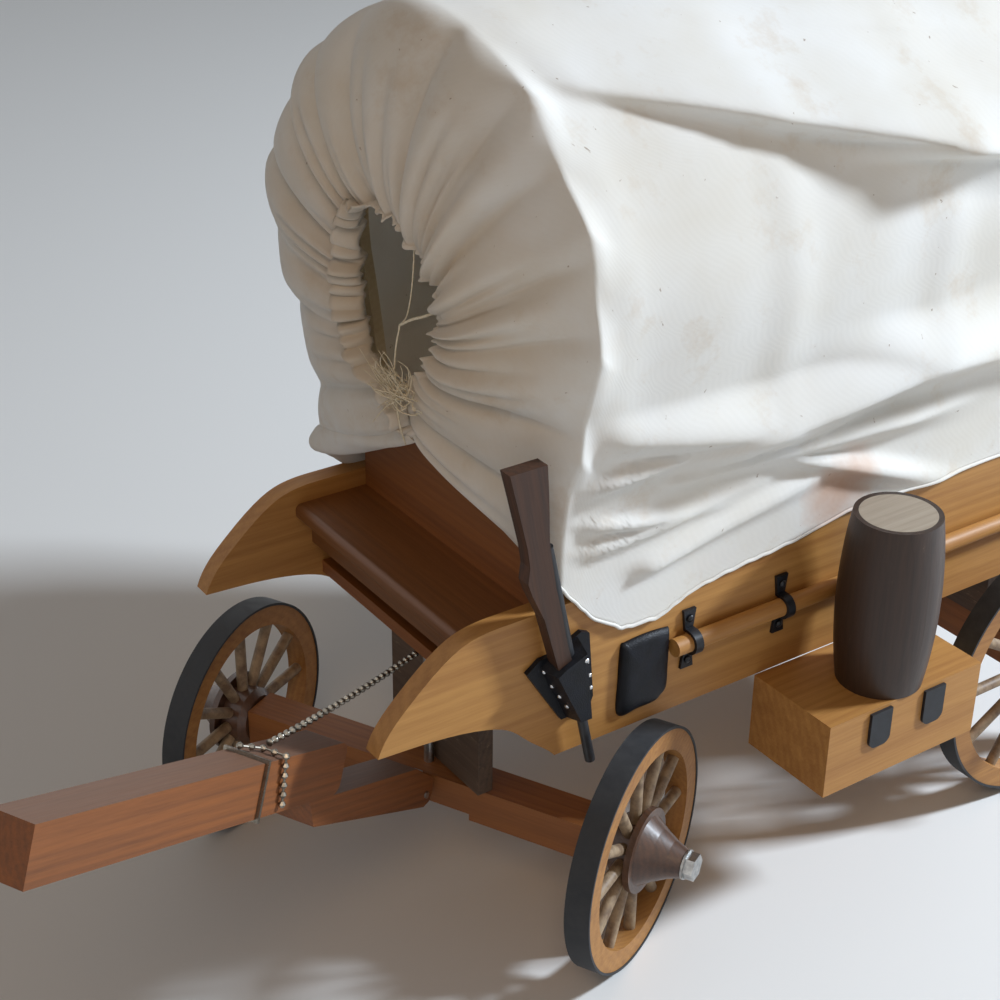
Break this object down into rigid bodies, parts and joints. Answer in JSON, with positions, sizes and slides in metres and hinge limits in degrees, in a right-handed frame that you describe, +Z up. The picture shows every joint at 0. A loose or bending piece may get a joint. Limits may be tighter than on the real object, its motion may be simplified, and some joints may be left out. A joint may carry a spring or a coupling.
{
  "type": "toy covered wagon",
  "caption": "Wooden toy covered wagon with canvas cover, spoked wheels, steered front axle, chained tongue, side box with barrel, and a toy rifle in a leather scabbard.",
  "frame": {"origin": "on the table under the middle of the whole wagon", "axes": "+Z up, -Y towards the wagon's front, +X towards its left side"},
  "size_m": [0.2756, 0.6732, 0.4278],
  "materials": {
    "axle_wood": "orange stain, satin",
    "black_leather": "glossy black",
    "black_paint": "gloss black",
    "canvas": "unbleached cotton",
    "chain_steel": "bright plated",
    "dark_wood": "dark walnut stain, satin",
    "gun_black": "black",
    "hub_wood": "dark gloss varnish",
    "lid_wood": "bare weathered",
    "pine": "clear satin varnish",
    "spoke_wood": "grey-brown stain",
    "stock_wood": "brown, satin",
    "tyre_black": "charcoal",
    "zinc": "bright zinc"
  },
  "bodies": {
    "wagon": {"barrel": "dark_wood", "barrel_lid": "lid_wood", "canvas_cover": "canvas", "chain_ring": "zinc", "cover_bows": "pine", "floor_board": "pine", "foot_panel": "dark_wood", "front_bolster": "dark_wood", "front_panel": "pine", "kingpin": "zinc", "leather_pad": "black_leather", "moulding_bracket_front": "black_paint", "moulding_bracket_rear": "black_paint", "rear_axle_beam": "axle_wood", "rear_axle_bolts": "zinc", "rear_bolster": "dark_wood", "rifle_barrel": "gun_black", "rifle_stock": "stock_wood", "scabbard": "black_leather", "seat_board": "dark_wood", "seat_rail": "dark_wood", "side_board_left": "pine", "side_board_right": "pine", "side_box": "pine", "side_box_latch": "black_paint", "side_moulding": "pine", "tail_board": "pine", "toe_board": "dark_wood"},
    "front_gear": {"front_axle_beam": "axle_wood", "front_axle_bolts": "zinc", "tongue_hinge": "zinc"},
    "tongue": {"chain": "chain_steel", "hound_board": "axle_wood", "tongue": "axle_wood", "tongue_chain": "chain_steel"},
    "wheel_front_left": {"hub_front_left": "hub_wood", "rim_front_left": "pine", "spokes_front_left": "spoke_wood", "tyre_front_left": "tyre_black"},
    "wheel_front_right": {"hub_front_right": "hub_wood", "rim_front_right": "pine", "spokes_front_right": "spoke_wood", "tyre_front_right": "tyre_black"},
    "wheel_rear_left": {"hub_rear_left": "hub_wood", "rim_rear_left": "pine", "spokes_rear_left": "spoke_wood", "tyre_rear_left": "tyre_black"},
    "wheel_rear_right": {"hub_rear_right": "hub_wood", "rim_rear_right": "pine", "spokes_rear_right": "spoke_wood", "tyre_rear_right": "tyre_black"}
  },
  "joints": [
    {"name": "steering", "type": "hinge", "parent": "wagon", "child": "front_gear", "pos_m": [0, -0.08877, 0.058], "axis": [0, 0, 1], "range_deg": [-54, 0]},
    {"name": "tongue_lift", "type": "hinge", "parent": "front_gear", "child": "tongue", "pos_m": [0.00863, -0.1057, 0.063], "axis": [0.891, 0.454, 0], "range_deg": [-12, 0], "deforming": ["chain"]},
    {"name": "wheel_front_left_spin", "type": "hinge", "parent": "front_gear", "child": "wheel_front_left", "pos_m": [0.09534, -0.0402, 0.058], "axis": [0.891, 0.454, 0], "continuous": true},
    {"name": "wheel_front_right_spin", "type": "hinge", "parent": "front_gear", "child": "wheel_front_right", "pos_m": [-0.09534, -0.13735, 0.058], "axis": [0.891, 0.454, 0], "continuous": true},
    {"name": "wheel_rear_left_spin", "type": "hinge", "parent": "wagon", "child": "wheel_rear_left", "pos_m": [0.107, 0.21673, 0.072], "axis": [1, 0, 0], "continuous": true},
    {"name": "wheel_rear_right_spin", "type": "hinge", "parent": "wagon", "child": "wheel_rear_right", "pos_m": [-0.107, 0.21673, 0.072], "axis": [1, 0, 0], "continuous": true}
  ]
}
